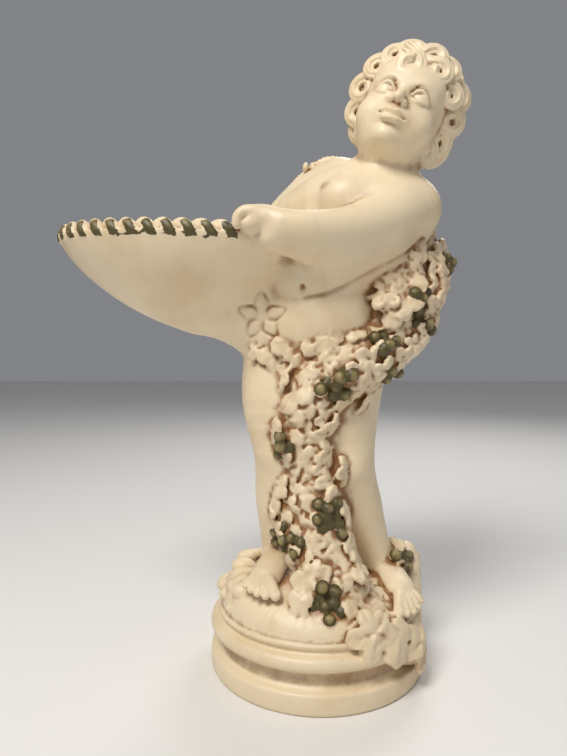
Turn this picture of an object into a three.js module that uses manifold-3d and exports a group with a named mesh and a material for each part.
// Cherub garden statue: a standing putto on a round plinth who holds a rope-rimmed oval bowl,
// with a vine garland over his back and hip that falls between his legs. One hollow-basin casting.
// Millimetres, +Z up, origin at the centre of the underside, +X to the cherub's left, -Y in front.
import * as THREE from 'three';
import { mergeVertices } from 'three/addons/utils/BufferGeometryUtils.js';
import Module from 'manifold-3d';

const wasm = await Module();
wasm.setup();

// ---------------------------------------------------------------- driving dimensions
const BASE_RADIUS = 113.5;
const BAND_HEIGHT = 22;
const COVE_DEPTH = 6;
const TORUS_LOW = 40;
const TORUS_HIGH = 55;
const LIP_RADIUS = 103;
const LIP_HEIGHT = 60;
const MOUND_TOP = 100;
const MOUND_FALL = 0.12;

const BOWL_CENTRE_X = -130;
const BOWL_HALF_LENGTH = 140;
const BOWL_HALF_WIDTH = 92;
const BOWL_DEPTH = 94;
const BOWL_WALL = 9;
const BOWL_FULLNESS = 1.45;
const RIM_HEIGHT = 443;
const RIM_FALL_X = -0.063;
const RIM_RISE_Y = 0.036;
const ROPE_RADIUS = 11.5;
const ROPE_STRANDS = 34;

const HEAD_CENTRE = new THREE.Vector3(91, -2, 581);
const HEAD_LEAN = THREE.MathUtils.degToRad(25);
const HEAD_TURN = THREE.MathUtils.degToRad(14);
const HEAD_LIFT = THREE.MathUtils.degToRad(14);
const SKULL = { wide: 43, deep: 48, high: 55 };

const GRAPE_RADIUS = 6.2;
const LEAF_SIZE = 25;
const GARLAND_FLATNESS = 0.6;
const GOLDEN_ANGLE = Math.PI * (3 - Math.sqrt(5));

const UP = new THREE.Vector3(0, 0, 1);
const FRONT = new THREE.Vector3(0, -1, 0);
const SIDEWAYS = new THREE.Vector3(1, 0, 0);

const at = (x, y, z) => new THREE.Vector3(x, y, z);

// ---------------------------------------------------------------- closed shapes
/** A closed three.js geometry as a solid: shared corners are merged and empty triangles dropped. */
function toSolid(geometry) {
  geometry.deleteAttribute('normal');
  geometry.deleteAttribute('uv');
  const merged = mergeVertices(geometry, 1e-3);
  const corners = merged.index.array;
  const triangles = [];
  for (let i = 0; i < corners.length; i += 3) {
    const [a, b, c] = corners.slice(i, i + 3);
    if (a !== b && b !== c && c !== a) triangles.push(a, b, c);
  }
  const mesh = new wasm.Mesh({
    numProp: 3,
    vertProperties: Float32Array.from(merged.attributes.position.array),
    triVerts: Uint32Array.from(triangles),
  });
  return new wasm.Manifold(mesh);
}

/** Moves every corner of a geometry to where place(corner, along, around) puts it. */
function reshape(geometry, place) {
  const corners = geometry.attributes.position;
  const shares = geometry.attributes.uv;
  const corner = new THREE.Vector3();
  for (let i = 0; i < corners.count; i += 1) {
    corner.fromBufferAttribute(corners, i);
    const moved = place(corner, shares.getY(i), shares.getX(i));
    corners.setXYZ(i, moved.x, moved.y, moved.z);
  }
  return geometry;
}

/** An ellipsoid; axes is an optional [x, y, z] triple of unit directions. */
function ball(centre, [rx, ry, rz], { axes = null, sides = 10, rings = 7 } = {}) {
  const basis = new THREE.Matrix4();
  if (axes) basis.makeBasis(...axes);
  const place = (p) => at(p.x * rx, -p.z * ry, p.y * rz).applyMatrix4(basis).add(centre);
  return toSolid(reshape(new THREE.SphereGeometry(1, sides, rings), place));
}

/**
 * A round-ended limb swept along joints, each [point, radius]. The section reaches the whole
 * radius towards broad, which may turn along the limb, and flat times the radius across it.
 */
function limb(joints, { sides = 8, spans = 2, capRings = 1, broad = UP, flat = 1 } = {}) {
  const path = new THREE.CatmullRomCurve3(joints.map(([point]) => point));
  const sizes = new THREE.CatmullRomCurve3(joints.map(([, radius]) => at(radius, 0, 0)));
  const rings = (joints.length - 1) * spans + 2 * capRings;
  const capShare = capRings / rings;
  const place = (corner, share) => {
    const fromEnd = 1 - share;
    const t = THREE.MathUtils.clamp((fromEnd - capShare) / (1 - 2 * capShare), 0, 1);
    const intoCap = Math.max(capShare - fromEnd, fromEnd - (1 - capShare), 0) / capShare;
    const capAngle = intoCap * Math.PI / 2;
    const radius = sizes.getPoint(t).x;
    const tangent = path.getTangent(t);
    const wide = typeof broad === 'function' ? broad(t) : broad;
    const across = new THREE.Vector3().crossVectors(tangent, wide).normalize();
    const along = new THREE.Vector3().crossVectors(across, tangent).normalize();
    const turn = Math.atan2(corner.z, corner.x);
    const ring = radius * Math.cos(capAngle);
    const reach = Math.sign(fromEnd - 0.5) * radius * Math.sin(capAngle) * Math.max(flat, 0.6);
    return path.getPoint(t)
      .addScaledVector(along, ring * Math.cos(turn))
      .addScaledVector(across, ring * flat * Math.sin(turn))
      .addScaledVector(tangent, reach);
  };
  return toSolid(reshape(new THREE.SphereGeometry(1, sides, rings), place));
}

/** A solid of revolution about Z from [radius, height] pairs that start and end on the axis. */
function turned(profile, sides) {
  const points = profile.map(([radius, height]) => new THREE.Vector2(radius, height));
  return new THREE.LatheGeometry(points, sides).rotateX(Math.PI / 2);
}

/**
 * A vine leaf: a low cone whose rim runs out to five points and back in between them. The middle
 * of its back goes down into what it lies on.
 */
function leaf(centre, outward, tip, size) {
  const normal = outward.clone().normalize();
  const side = new THREE.Vector3().crossVectors(normal, tip).normalize();
  const forward = new THREE.Vector3().crossVectors(side, normal).normalize();
  const rise = size * 0.34;
  const lobes = (p) => {
    const radius = Math.hypot(p.x, p.z);
    const turn = Math.atan2(p.x, p.z);
    const lobe = 0.84 + 0.16 * Math.cos(5 * turn);
    const droop = radius > 0 || p.y > 0 ? -0.16 * size * radius * radius : -0.7 * size;
    return centre.clone()
      .addScaledVector(forward, p.z * size * lobe)
      .addScaledVector(side, p.x * size * lobe * 0.92)
      .addScaledVector(normal, p.y * rise + droop);
  };
  return toSolid(reshape(new THREE.ConeGeometry(1, 1, 10), lobes));
}

/** A ball of few facets for one grape. */
function grape(centre, radius = GRAPE_RADIUS) {
  return toSolid(new THREE.IcosahedronGeometry(radius, 0).translate(centre.x, centre.y, centre.z));
}

const join = (solids) => solids.reduce((whole, solid) => whole.add(solid));

// ---------------------------------------------------------------- plinth and mound
function makePlinth() {
  const waist = BASE_RADIUS - COVE_DEPTH;
  const middle = (BAND_HEIGHT + TORUS_LOW) / 2;
  const bulge = (TORUS_LOW + TORUS_HIGH) / 2;
  const profile = [
    [0, 0],
    [BASE_RADIUS - 4, 0],
    [BASE_RADIUS, 4],
    [BASE_RADIUS, BAND_HEIGHT],
    [waist, middle],
    [BASE_RADIUS - 2, TORUS_LOW],
    [BASE_RADIUS, bulge],
    [BASE_RADIUS - 3, TORUS_HIGH],
    [LIP_RADIUS - 3, TORUS_HIGH + 2],
    [LIP_RADIUS, LIP_HEIGHT + 2],
    [LIP_RADIUS - 2, LIP_HEIGHT + 12],
    [LIP_RADIUS - 11, LIP_HEIGHT + 26],
    [LIP_RADIUS - 36, MOUND_TOP - 4],
    [0, MOUND_TOP],
  ];
  const fall = (p) => {
    const above = THREE.MathUtils.smoothstep(p.z, LIP_HEIGHT, MOUND_TOP);
    return at(p.x, p.y, p.z - MOUND_FALL * p.x * above);
  };
  const solids = [toSolid(reshape(turned(profile, 28), fall))];
  const rocks = 5;
  for (let i = 0; i < rocks; i += 1) {
    const angle = Math.PI * (0.86 + 0.1 * i);
    const size = 12 + 3 * Math.sin(2.3 * i);
    const reach = LIP_RADIUS - 15;
    const place = at(reach * Math.cos(angle), reach * Math.sin(angle), 74 + 8 * Math.cos(1.7 * i));
    solids.push(ball(place, [size * 1.2, size * 1.1, size], { sides: 6, rings: 4 }));
  }
  return join(solids);
}

// ---------------------------------------------------------------- bowl
const rimHeight = (x, y) => RIM_HEIGHT + RIM_FALL_X * (x - BOWL_CENTRE_X) + RIM_RISE_Y * y;

/** The lower half of an oval bowl body, flat on top in the rim's sloping plane. */
function bowlBody(inset, above) {
  const steps = 4;
  const profile = [[0, -1]];
  for (let i = 1; i <= steps; i += 1) {
    const height = -Math.cos((i / steps) * Math.PI / 2);
    profile.push([(1 - Math.abs(height) ** BOWL_FULLNESS) ** (1 / BOWL_FULLNESS), height]);
  }
  profile.push([0, 0]);
  const place = (p) => {
    const x = BOWL_CENTRE_X + p.x * (BOWL_HALF_LENGTH - inset);
    const y = p.y * (BOWL_HALF_WIDTH - inset);
    const lift = p.z === 0 ? above : p.z * (BOWL_DEPTH - inset);
    return at(x, y, rimHeight(x, y) + lift);
  };
  return toSolid(reshape(turned(profile, 20), place));
}

/** The twisted rope rim: a ring whose ridges and grooves wind round it as they go along. */
function makeRope() {
  const sides = 5;
  const rings = ROPE_STRANDS * 2;
  const ringsPerTurn = 4;
  const place = (corner, around, along) => {
    const side = Math.round(around * sides);
    const ring = (Math.round(along * rings) + (ringsPerTurn * side) / sides) % rings;
    const ridge = Math.round(along * rings) % 2 === 0;
    const radius = ROPE_RADIUS * (ridge ? 1.05 : 0.78);
    const angle = (2 * Math.PI * ring) / rings;
    const roll = (2 * Math.PI * (side % sides)) / sides;
    const outward = radius * Math.cos(roll);
    const x = BOWL_CENTRE_X + (BOWL_HALF_LENGTH - 8 + outward) * Math.cos(angle);
    const y = (BOWL_HALF_WIDTH - 8 + outward) * Math.sin(angle);
    return at(x, y, rimHeight(x, y) + radius * Math.sin(roll));
  };
  return toSolid(reshape(new THREE.TorusGeometry(2, 1, sides, rings), place));
}

function makeBowl() {
  const keel = limb([[at(-106, 0, 380), 28], [at(-66, 0, 364), 36], [at(-20, 0, 350), 46]], { spans: 1 });
  return bowlBody(0, 0).add(keel).subtract(bowlBody(BOWL_WALL, 12)).add(makeRope());
}

// ---------------------------------------------------------------- body
function makeBody() {
  const hipLine = at(1, 0.1, 0.05);
  const shoulderLine = at(0.72, -0.62, -0.32);
  const trunk = limb([
    [at(0, 8, 338), 66],
    [at(2, 4, 366), 66],
    [at(16, 2, 410), 63],
    [at(34, 6, 448), 61],
    [at(52, 12, 482), 58],
    [at(66, 14, 508), 44],
  ], { sides: 12, broad: (t) => hipLine.clone().lerp(shoulderLine, t), flat: 0.84 });
  const solids = [
    trunk,
    ball(at(10, -16, 424), [57, 46, 50]),
    ball(at(4, -16, 362), [54, 42, 44]),
    ball(at(-28, 44, 336), [38, 34, 40], { sides: 8, rings: 6 }),
    ball(at(34, 42, 332), [38, 34, 40], { sides: 8, rings: 6 }),
    limb([[at(66, 10, 502), 38], [at(78, 8, 530), 29], [at(86, 6, 554), 31]], { broad: FRONT }),
  ];
  return join(solids);
}

function makeArms() {
  const left = limb([
    [at(99, -8, 478), 33],
    [at(66, -40, 463), 26],
    [at(22, -66, 452), 21],
    [at(-14, -86, 445), 15.5],
    [at(-36, -92, 443), 13],
  ]);
  const right = limb([
    [at(28, 50, 520), 30],
    [at(-6, 66, 508), 26],
    [at(-36, 78, 488), 21],
    [at(-62, 86, 466), 15],
    [at(-78, 88, 456), 13],
  ]);
  return join([left, right, makeHand(at(-58, -88, 449), -1), makeHand(at(-96, 86, 456), 1)]);
}

/** A hand laid over the rim: a rounded back and four fingers that curl over to the inside. */
function makeHand(centre, side) {
  const solids = [ball(centre, [20, 14, 14], { sides: 7, rings: 5 })];
  for (let i = 0; i < 4; i += 1) {
    const x = centre.x - 15 + i * 8.6;
    const drop = Math.abs(i - 1.5) * 1.2;
    const knuckle = at(x, centre.y - side * 3, centre.z + 10 - drop);
    const tip = at(x - 3, centre.y - side * 20, centre.z - 1);
    solids.push(limb([[knuckle, 5.2], [tip, 4.4]], { sides: 5, spans: 1 }));
  }
  return join(solids);
}

// ---------------------------------------------------------------- legs and feet
/** Five toes fanned from the ball of the foot; tips is [big, little] and both lie on the sole. */
function toes(ballOfFoot, bigTip, littleTip, bow) {
  const solids = [];
  for (let i = 0; i < 5; i += 1) {
    const share = i / 4;
    const tip = new THREE.Vector3().lerpVectors(bigTip, littleTip, share);
    const forward = new THREE.Vector3().subVectors(tip, ballOfFoot).setZ(0).normalize();
    tip.addScaledVector(forward, bow * Math.sin(Math.PI * (share * 0.8 + 0.1)));
    const radius = i === 0 ? 6.2 : 4.7 - 0.25 * i;
    const root = new THREE.Vector3().lerpVectors(ballOfFoot, tip, 0.35);
    root.z += 2;
    solids.push(limb([[root, radius + 1.5], [tip, radius]], { sides: 4, spans: 1 }));
  }
  return join(solids);
}

function makeLegs() {
  const rightLeg = limb([
    [at(-34, 8, 340), 44],
    [at(-41, -4, 282), 39],
    [at(-39, -8, 222), 28],
    [at(-38, 0, 176), 28],
    [at(-40, 6, 140), 22],
    [at(-41, 10, 108), 18],
  ], { sides: 10, broad: FRONT });
  const leftLeg = limb([
    [at(34, 8, 336), 46],
    [at(28, -2, 270), 39],
    [at(33, -8, 212), 29],
    [at(45, 2, 164), 27],
    [at(60, 8, 128), 21],
    [at(72, 10, 98), 17],
  ], { sides: 10, broad: FRONT });
  const rightBall = at(-56, -46, 102);
  const leftBall = at(86, -32, 84);
  const rightFoot = limb([[at(-36, 22, 104), 14], [at(-46, -14, 108), 18], [rightBall, 15]],
    { sides: 8, broad: SIDEWAYS, flat: 0.8 });
  const leftFoot = limb([[at(70, 24, 92), 14], [at(80, -4, 94), 18], [leftBall, 15]],
    { sides: 8, broad: at(1, 0.4, 0), flat: 0.8 });
  return join([
    rightLeg,
    leftLeg,
    rightFoot,
    leftFoot,
    toes(rightBall, at(-43, -76, 98), at(-71, -60, 100), 5),
    toes(leftBall, at(76, -64, 75), at(106, -44, 77), 6),
  ]);
}

// ---------------------------------------------------------------- head and hair
const headUp = at(
  Math.sin(HEAD_LEAN),
  Math.cos(HEAD_LEAN) * Math.sin(HEAD_LIFT),
  Math.cos(HEAD_LEAN) * Math.cos(HEAD_LIFT),
).normalize();
const headRight = new THREE.Vector3()
  .crossVectors(headUp, at(-Math.sin(HEAD_TURN), -Math.cos(HEAD_TURN), 0))
  .normalize();
const headFront = new THREE.Vector3().crossVectors(headRight, headUp).normalize();

/** A point of the head from right, front and up distances off its centre. */
const inHead = (right, front, up) => HEAD_CENTRE.clone()
  .addScaledVector(headRight, right)
  .addScaledVector(headFront, front)
  .addScaledVector(headUp, up);

function makeHead() {
  const axes = [headRight, headFront.clone().negate(), headUp];
  const small = { axes, sides: 6, rings: 4 };
  const solids = [
    ball(inHead(0, -2, 8), [SKULL.wide, SKULL.deep - 2, SKULL.high - 8], { axes, sides: 12, rings: 8 }),
    ball(inHead(0, 10, -24), [34, 32, 32], { axes }),
    ball(inHead(0, 29, -46), [12, 10, 10], small),
    ball(inHead(0, 43, -31), [12, 5, 4], small),
    ball(inHead(0, 41.5, -38), [9.5, 5, 3.6], small),
    limb([[inHead(0, 42, 2), 4], [inHead(0, 46, -9), 5], [inHead(0, 50, -17), 6.2]],
      { sides: 6, spans: 1, broad: headFront }),
  ];
  for (const side of [-1, 1]) {
    solids.push(ball(inHead(side * 18, 24, -20), [17, 15, 16], small));
    solids.push(ball(inHead(side * 17, 38, -1), [8.5, 5.5, 5], small));
  }
  return join(solids);
}

/**
 * A lock of hair on the skull: it starts at azimuth and height on the skull, sets off along
 * heading and winds up by curl, all in degrees, while it swells to width and thins again.
 */
function lock({ azimuth, height, heading, length, curl, width, lift = 0 }) {
  const steps = 4;
  const joints = [];
  let a = THREE.MathUtils.degToRad(azimuth);
  let h = THREE.MathUtils.degToRad(height);
  for (let i = 0; i <= steps; i += 1) {
    const share = i / steps;
    const reach = 1.05 + lift + 0.14 * Math.sin(Math.PI * share);
    joints.push([
      inHead(
        SKULL.wide * reach * Math.cos(h) * Math.sin(a),
        SKULL.deep * reach * Math.cos(h) * Math.cos(a) - 4,
        SKULL.high * reach * Math.sin(h) + 2,
      ),
      width * (0.6 + 0.4 * Math.sin(Math.PI * (0.15 + 0.75 * share))),
    ]);
    const way = THREE.MathUtils.degToRad(heading + curl * share);
    const stride = length / steps / SKULL.deep;
    a += stride * Math.sin(way) / Math.max(Math.cos(h), 0.35);
    h += stride * Math.cos(way);
  }
  const outward = joints[2][0].clone().sub(HEAD_CENTRE).normalize();
  return limb(joints, { sides: 4, spans: 1, broad: outward, flat: 0.9 });
}

function makeHair() {
  const axes = [headRight, headFront.clone().negate(), headUp];
  const cap = [SKULL.wide + 3, SKULL.deep - 4, SKULL.high];
  const forelock = { azimuth: -16, height: 70, heading: 190, length: 62, curl: 280, width: 8, lift: 0.04 };
  const crown = { azimuth: 24, height: 72, heading: 110, length: 62, curl: 240, width: 9, lift: 0.12 };
  const nape = { azimuth: 100, height: -42, heading: 120, length: 60, curl: -240, width: 8, lift: 0.24 };
  const solids = [ball(inHead(0, -9, 17), cap, { axes })];
  solids.push(lock(forelock), lock(crown), lock(nape));
  const rows = [
    { count: 6, height: 44, from: -125, to: 125, width: 10 },
    { count: 6, height: 8, from: -150, to: 150, width: 10 },
    { count: 5, height: -26, from: -150, to: 150, width: 10 },
  ];
  for (const row of rows) {
    for (let i = 0; i < row.count; i += 1) {
      const azimuth = THREE.MathUtils.lerp(row.from, row.to, i / (row.count - 1));
      const faceHalfWidth = row.height > 30 ? 26 : 60;
      if (Math.abs(azimuth) < faceHalfWidth) continue;
      const way = Math.sign(azimuth) * (i % 2 === 0 ? 1 : -1);
      const heading = 180 - way * 80;
      solids.push(lock({ azimuth, heading, height: row.height, length: 58, curl: way * 290, width: row.width }));
    }
  }
  return join(solids);
}

// ---------------------------------------------------------------- garland
const GARLAND = [
  [at(10, 50, 542), 6],
  [at(40, 66, 516), 11],
  [at(76, 66, 482), 17],
  [at(112, 44, 448), 22],
  [at(112, 14, 412), 28],
  [at(86, -6, 364), 35],
  [at(58, -24, 334), 34],
  [at(20, -40, 310), 32],
  [at(-6, -36, 270), 31],
  [at(-8, -30, 218), 32],
  [at(-4, -32, 168), 33],
  [at(6, -42, 124), 34],
  [at(20, -60, 90), 30],
];
const garlandPath = new THREE.CatmullRomCurve3(GARLAND.map(([point]) => point));
const garlandSizes = new THREE.CatmullRomCurve3(GARLAND.map(([, radius]) => at(radius, 0, 0)));

/** A place on the garland: share of its length, and turn round it from straight outwards. */
function onGarland(share, turn) {
  const point = garlandPath.getPoint(share);
  const tangent = garlandPath.getTangent(share);
  const radius = garlandSizes.getPoint(share).x;
  const away = at(point.x - 5, point.y - 18, 0);
  away.addScaledVector(tangent, -away.dot(tangent)).normalize();
  const wide = new THREE.Vector3().crossVectors(tangent, away);
  point.addScaledVector(away, radius * GARLAND_FLATNESS * Math.cos(turn));
  point.addScaledVector(wide, radius * Math.sin(turn));
  const outward = away.multiplyScalar(Math.cos(turn)).addScaledVector(wide, 0.7 * Math.sin(turn));
  return { point, outward: outward.normalize(), tangent };
}

function makeGarland() {
  const solids = [limb(GARLAND, { spans: 1, broad: SIDEWAYS, flat: GARLAND_FLATNESS })];
  const leaves = 24;
  for (let i = 0; i < leaves; i += 1) {
    const share = (i + 1) / (leaves + 1);
    const { point, outward, tangent } = onGarland(share, 1.25 * Math.sin(i * 2.4));
    const size = LEAF_SIZE * (0.85 + 0.3 * Math.sin(i * 1.9) ** 2) * (share < 0.12 ? 0.6 : 1);
    const tip = tangent.clone().applyAxisAngle(outward, 1.3 * Math.sin(i * 2.7));
    solids.push(leaf(point, outward, tip, size));
  }
  const bunches = [0.38, 0.52, 0.66, 0.8];
  for (const [i, share] of bunches.entries()) {
    solids.push(bunch(onGarland(share, 0.7 * Math.sin(i * 2.2)), 3));
  }
  return join(solids);
}

/** A small bunch of grapes at a place on the garland or the mound. */
function bunch({ point, outward, tangent }, count) {
  const side = new THREE.Vector3().crossVectors(outward, tangent);
  const grapes = [];
  for (let i = 0; i < count; i += 1) {
    const reach = GRAPE_RADIUS * 0.85 * Math.sqrt(i);
    const turn = i * GOLDEN_ANGLE;
    grapes.push(grape(point.clone()
      .addScaledVector(side, reach * Math.cos(turn))
      .addScaledVector(tangent, reach * Math.sin(turn))
      .addScaledVector(outward, 3 - reach * 0.2)));
  }
  return join(grapes);
}

/** Leaves that lie over the mound, front right, and a leafy stump behind the left leg. */
function makeGround() {
  const solids = [
    limb([[at(98, 26, 62), 20], [at(104, 26, 92), 17], [at(108, 26, 112), 12]], { sides: 8 }),
  ];
  const fallen = 5;
  for (let i = 0; i < fallen; i += 1) {
    const angle = THREE.MathUtils.degToRad(-80 + i * 20);
    const low = i % 3 === 0;
    const reach = low ? LIP_RADIUS + 3 : LIP_RADIUS - 12;
    const place = at(reach * Math.cos(angle), reach * Math.sin(angle), low ? 58 : 74);
    const outward = at(Math.cos(angle), Math.sin(angle), low ? 0.3 : 1.1);
    solids.push(leaf(place, outward, at(Math.cos(angle), Math.sin(angle), -1), LEAF_SIZE));
  }
  for (let i = 0; i < 3; i += 1) {
    const angle = i * 1.6 - 1;
    const place = at(106 + 13 * Math.cos(angle), 22 + 13 * Math.sin(angle), 92 + 5 * i);
    solids.push(leaf(place, at(Math.cos(angle), Math.sin(angle), 0.4), at(0, 0, -1), LEAF_SIZE * 0.8));
  }
  solids.push(bunch({ point: at(10, -90, 84), outward: at(0, -0.8, 0.6), tangent: SIDEWAYS }, 4));
  return join(solids);
}

// ---------------------------------------------------------------- the statue
const statue = join([makePlinth(), makeBowl(), makeBody(), makeArms(), makeLegs(), makeHead(),
  makeHair(), makeGarland(), makeGround()]);

/** The largest closed skin of a mesh: the crumbs of air shut in between joined shapes are filled. */
function outerSkin({ vertProperties, triVerts }) {
  const owner = Array.from({ length: vertProperties.length / 3 }, (_, i) => i);
  const find = (i) => {
    let root = i;
    while (owner[root] !== root) root = owner[root];
    owner[i] = root;
    return root;
  };
  for (let i = 0; i < triVerts.length; i += 3) {
    const root = find(triVerts[i]);
    owner[find(triVerts[i + 1])] = root;
    owner[find(triVerts[i + 2])] = root;
  }
  const sizes = new Map();
  for (const corner of triVerts) sizes.set(find(corner), (sizes.get(find(corner)) ?? 0) + 1);
  const largest = [...sizes].reduce((a, b) => (b[1] > a[1] ? b : a))[0];
  const renumbered = new Map();
  const positions = [];
  const index = [];
  for (const corner of triVerts) {
    if (find(corner) !== largest) continue;
    if (!renumbered.has(corner)) {
      renumbered.set(corner, renumbered.size);
      positions.push(...vertProperties.slice(corner * 3, corner * 3 + 3));
    }
    index.push(renumbered.get(corner));
  }
  const skin = new THREE.BufferGeometry();
  skin.setAttribute('position', new THREE.Float32BufferAttribute(positions, 3));
  skin.setIndex(index);
  skin.computeVertexNormals();
  return skin;
}

const geometry = outerSkin(statue.getMesh());

const painted = new THREE.MeshStandardMaterial({ color: 0xd9c9a6, roughness: 0.45, metalness: 0 });
const cherub = new THREE.Mesh(geometry, painted);
cherub.name = 'cherub_statue';

const group = new THREE.Group();
group.name = 'cherub_garden_statue';
group.add(cherub);
export default group;
